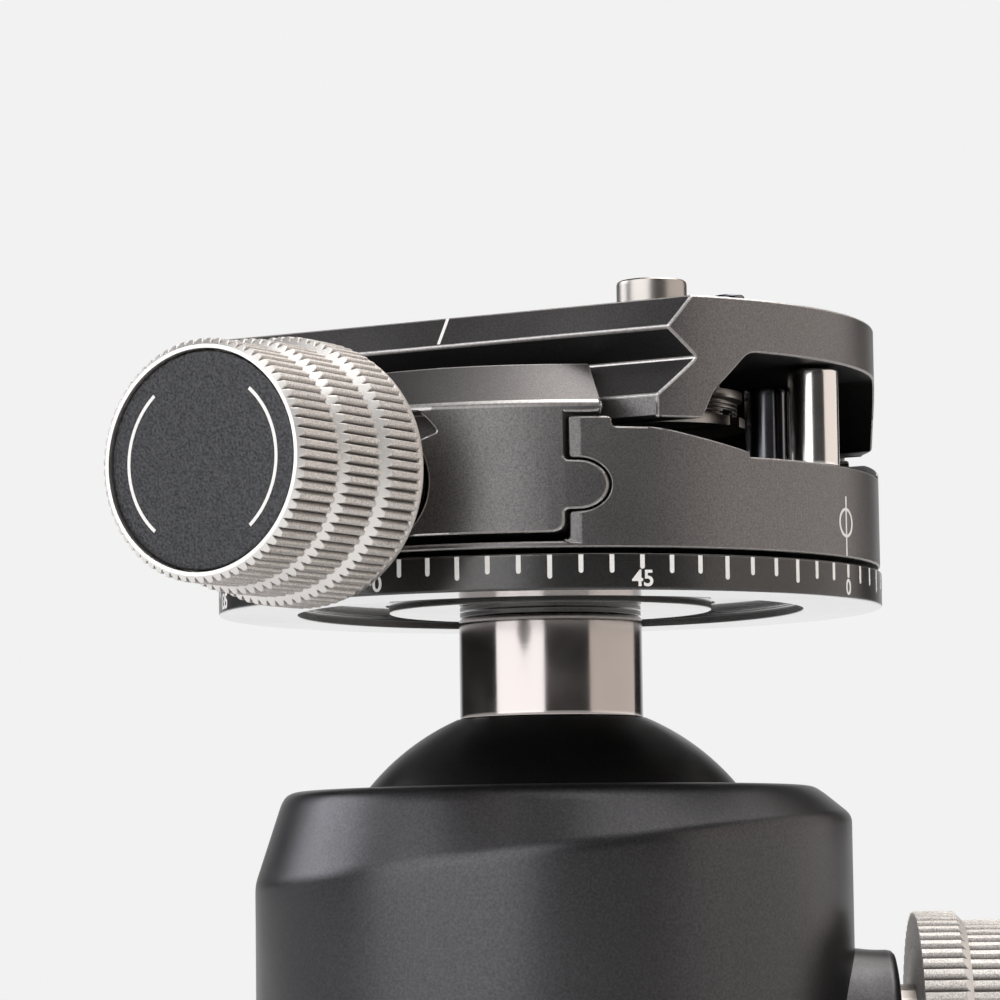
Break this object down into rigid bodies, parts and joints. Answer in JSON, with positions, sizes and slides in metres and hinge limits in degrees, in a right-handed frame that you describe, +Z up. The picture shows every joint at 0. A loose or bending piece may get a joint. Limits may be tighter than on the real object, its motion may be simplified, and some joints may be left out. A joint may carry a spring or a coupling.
{
  "type": "ball head",
  "caption": "Tripod ball head with a panning quick-release clamp, knurled silver lock knobs and a round dovetail camera plate.",
  "frame": {"origin": "centre of the base's underside, on the tripod screw's axis", "axes": "+Z up along the stem, -Y towards the clamp knob, +X towards the zero mark of the pan scale"},
  "size_m": [0.0799, 0.0942, 0.1054],
  "materials": {
    "grey_anodised": "bead-blasted dark grey anodising",
    "black_anodised": "satin black anodising",
    "satin_black": "satin black anodising",
    "silver": "bead-blasted clear anodising",
    "bright_steel": "polished",
    "plain_steel": "turned",
    "black_steel": "gloss black",
    "brass": "turned",
    "polymer": "matte",
    "rubber": "matte"
  },
  "bodies": {
    "base": {"base_disc": "black_anodised", "base_pad": "rubber", "tripod_bush": "plain_steel", "base_bearing": "polymer", "base_retainer": "plain_steel", "base_retainer_screw": "plain_steel"},
    "housing": {"housing": "satin_black", "housing_floor": "plain_steel", "cup_spring": "plain_steel"},
    "base_lock": {"base_lock_screw": "plain_steel", "base_lock_knob": "silver"},
    "main_lock": {"lock_screw": "plain_steel", "lock_knob": "silver", "lock_knob_face": "black_anodised"},
    "friction_stop": {"friction_dial": "silver"},
    "lock_plunger": {"lock_plunger": "brass"},
    "ball_cup": {"ball_cup": "polymer"},
    "ball_liner": {"ball_liner": "polymer"},
    "ball": {"ball": "satin_black", "stem": "bright_steel", "pan_scale_ring": "black_anodised", "pan_washer": "polymer", "pan_bushing": "brass", "pan_retainer": "plain_steel", "pan_screw": "plain_steel"},
    "clamp": {"clamp_body": "grey_anodised", "stop_post_left": "bright_steel", "stop_post_right": "bright_steel", "safety_bush_left": "plain_steel", "safety_bush_right": "plain_steel", "safety_spring_left": "plain_steel", "safety_spring_right": "plain_steel", "jaw_spring_left": "plain_steel", "jaw_spring_right": "plain_steel"},
    "jaw": {"movable_jaw": "grey_anodised", "jaw_thrust_washer": "black_steel"},
    "spindle": {"jaw_spindle": "plain_steel"},
    "clamp_knob": {"clamp_knob": "silver", "clamp_knob_cap": "black_anodised", "clamp_knob_collar": "silver", "clamp_knob_spring": "plain_steel"},
    "pan_lock": {"pan_lock_screw": "plain_steel", "pan_lock_knob": "silver"},
    "plate": {"camera_plate": "grey_anodised", "plate_pad": "rubber", "anti_twist_stud": "black_steel"},
    "screw_washer": {"camera_screw_washer": "polymer"},
    "camera_screw": {"camera_screw": "bright_steel"},
    "safety_pin_left": {"safety_pin_left": "black_steel"},
    "safety_pin_right": {"safety_pin_right": "black_steel"}
  },
  "joints": [
    {"name": "base_pan", "type": "hinge", "parent": "base", "child": "housing", "pos_m": [0, 0, 0], "axis": [0, 0, 1], "continuous": true},
    {"name": "base_lock_turn", "type": "hinge", "parent": "housing", "child": "base_lock", "pos_m": [0, 0, 0.0124], "axis": [-0.866, 0.5, 0], "range_deg": [0, 360]},
    {"name": "lock_turn", "type": "hinge", "parent": "housing", "child": "main_lock", "pos_m": [0, 0, 0.0357], "axis": [0.866, 0.5, 0], "range_deg": [0, 270]},
    {"name": "friction_turn", "type": "hinge", "parent": "main_lock", "child": "friction_stop", "pos_m": [0, 0, 0.0357], "axis": [0.866, 0.5, 0], "range_deg": [0, 300]},
    {"name": "plunger_slide", "type": "slide", "parent": "housing", "child": "lock_plunger", "axis": [0.866, 0.5, 0], "range_m": [0, 0.0008]},
    {"name": "cup_slide", "type": "slide", "parent": "housing", "child": "ball_cup", "axis": [0, 0, -1], "range_m": [0, 0.0005], "deforming": ["cup_spring"]},
    {"name": "ball_swivel", "type": "hinge", "parent": "housing", "child": "ball_liner", "pos_m": [0, 0, 0.0467], "axis": [0, 0, 1], "continuous": true},
    {"name": "ball_tilt", "type": "hinge", "parent": "ball_liner", "child": "ball", "pos_m": [0, 0, 0.0467], "axis": [1, 0, 0], "range_deg": [-28, 28]},
    {"name": "top_pan", "type": "hinge", "parent": "ball", "child": "clamp", "pos_m": [0, 0, 0.076], "axis": [0, 0, 1], "continuous": true},
    {"name": "pan_lock_turn", "type": "hinge", "parent": "clamp", "child": "pan_lock", "pos_m": [0, 0, 0.0832], "axis": [0, 1, 0], "range_deg": [0, 360]},
    {"name": "jaw_slide", "type": "slide", "parent": "clamp", "child": "jaw", "axis": [0, -1, 0], "range_m": [0, 0.0025]},
    {"name": "knob_turn", "type": "hinge", "parent": "jaw", "child": "spindle", "pos_m": [0, 0, 0.08545], "axis": [0, -1, 0], "range_deg": [0, 720]},
    {"name": "knob_push", "type": "slide", "parent": "spindle", "child": "clamp_knob", "axis": [0, 1, 0], "range_m": [0, 0.0015], "stiffness_N_per_m": 800, "springref_m": -0.003, "deforming": ["clamp_knob_spring"]},
    {"name": "plate_slide", "type": "slide", "parent": "clamp", "child": "plate", "axis": [1, 0, 0], "range_m": [-0.015, 0.0009]},
    {"name": "screw_slide", "type": "slide", "parent": "plate", "child": "screw_washer", "axis": [-1, 0, 0], "range_m": [0, 0.022]},
    {"name": "screw_turn", "type": "hinge", "parent": "screw_washer", "child": "camera_screw", "pos_m": [0.011, 0, 0.095], "axis": [0, 0, 1], "continuous": true},
    {"name": "left_pin_push", "type": "slide", "parent": "clamp", "child": "safety_pin_left", "axis": [0, 0, -1], "range_m": [0, 0.003], "stiffness_N_per_m": 300, "springref_m": -0.002, "deforming": ["safety_spring_left"]},
    {"name": "right_pin_push", "type": "slide", "parent": "clamp", "child": "safety_pin_right", "axis": [0, 0, -1], "range_m": [0, 0.003], "stiffness_N_per_m": 300, "springref_m": -0.002, "deforming": ["safety_spring_right"]}
  ],
  "couplings": [
    {"joint": "plunger_slide", "follows": "cup_slide", "ratio": 1.5999},
    {"joint": "lock_turn", "follows": "cup_slide", "rad_per_m": 9424.7},
    {"joint": "knob_turn", "follows": "jaw_slide", "rad_per_m": 5026.5}
  ]
}
